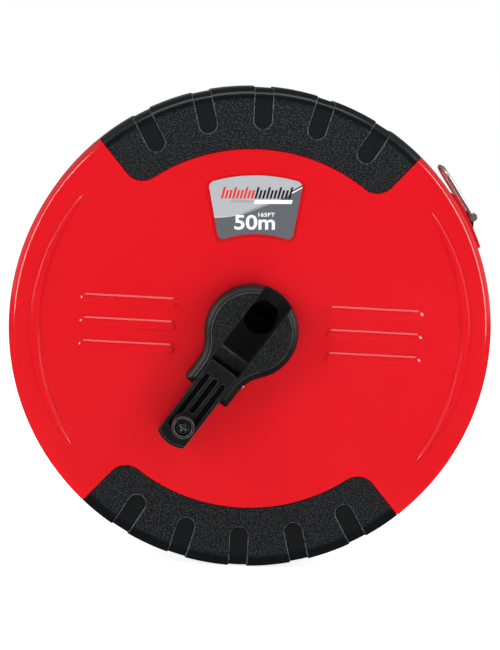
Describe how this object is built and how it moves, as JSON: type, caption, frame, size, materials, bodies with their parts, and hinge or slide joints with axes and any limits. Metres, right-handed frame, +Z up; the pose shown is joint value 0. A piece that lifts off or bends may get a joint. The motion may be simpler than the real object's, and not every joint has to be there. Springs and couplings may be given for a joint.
{
  "type": "long tape measure reel",
  "caption": "Round closed-case long tape measure with rubber grips, a folding winding crank on its front and a wire ring on the blade's end.",
  "frame": {"origin": "on the reel's spin axis, at the plane where the two case halves meet", "axes": "the reel spins about Y, the crank faces -Y, +X is to the right seen from the crank side, +Z is up"},
  "size_m": [0.195, 0.0528, 0.1948],
  "materials": {
    "case_red": "glossy moulded ABS, slightly textured",
    "grip_rubber": "matt soft rubber with a fine grain",
    "black_plastic": "matt black moulding with a fine grain",
    "white_plastic": "natural white nylon and acetal",
    "bright_steel": "bright nickel plate",
    "screw_steel": "zinc-plated steel",
    "label_foil": "printed silver film",
    "blade_yellow": "PVC-coated fibreglass tape"
  },
  "bodies": {
    "case": {"front_case": "case_red", "rear_case": "case_red", "top_grip_front": "grip_rubber", "top_grip_rear": "grip_rubber", "bottom_grip_front": "grip_rubber", "bottom_grip_rear": "grip_rubber", "front_label": "label_foil", "mouth_liner": "black_plastic", "case_screws": "screw_steel", "front_washer": "white_plastic", "rear_washer": "white_plastic"},
    "reel": {"drum_core": "white_plastic", "front_flange": "white_plastic", "rear_flange": "white_plastic", "blade_coil": "blade_yellow", "blade_anchor_pin": "screw_steel", "crank_hub": "black_plastic", "hub_screws": "screw_steel", "lever_pin": "bright_steel"},
    "lever": {"crank_lever": "black_plastic", "knob_screw": "screw_steel", "knob_washer": "screw_steel"},
    "knob": {"crank_knob": "black_plastic"},
    "blade_end": {"blade_lead": "blade_yellow", "end_clip": "bright_steel", "clip_rivets": "bright_steel", "ring_pin": "bright_steel"},
    "ring": {"end_ring": "bright_steel"}
  },
  "joints": [
    {"name": "reel_spin", "type": "hinge", "parent": "case", "child": "reel", "pos_m": [0, 0, 0], "axis": [0, 1, 0], "continuous": true},
    {"name": "lever_fold", "type": "hinge", "parent": "reel", "child": "lever", "pos_m": [-0.01113, -0.02295, -0.0165], "axis": [-0.829, 0, 0.5592], "range_deg": [0, 180]},
    {"name": "knob_spin", "type": "hinge", "parent": "lever", "child": "knob", "pos_m": [-0.02556, -0.03, -0.03789], "axis": [0, 1, 0], "continuous": true},
    {"name": "blade_pull", "type": "slide", "parent": "case", "child": "blade_end", "axis": [0, 0, 1], "range_m": [0, 0.04]},
    {"name": "ring_swing", "type": "hinge", "parent": "blade_end", "child": "ring", "pos_m": [0.0875, 0, 0.04984], "axis": [0, 1, 0], "range_deg": [0, 150]}
  ]
}
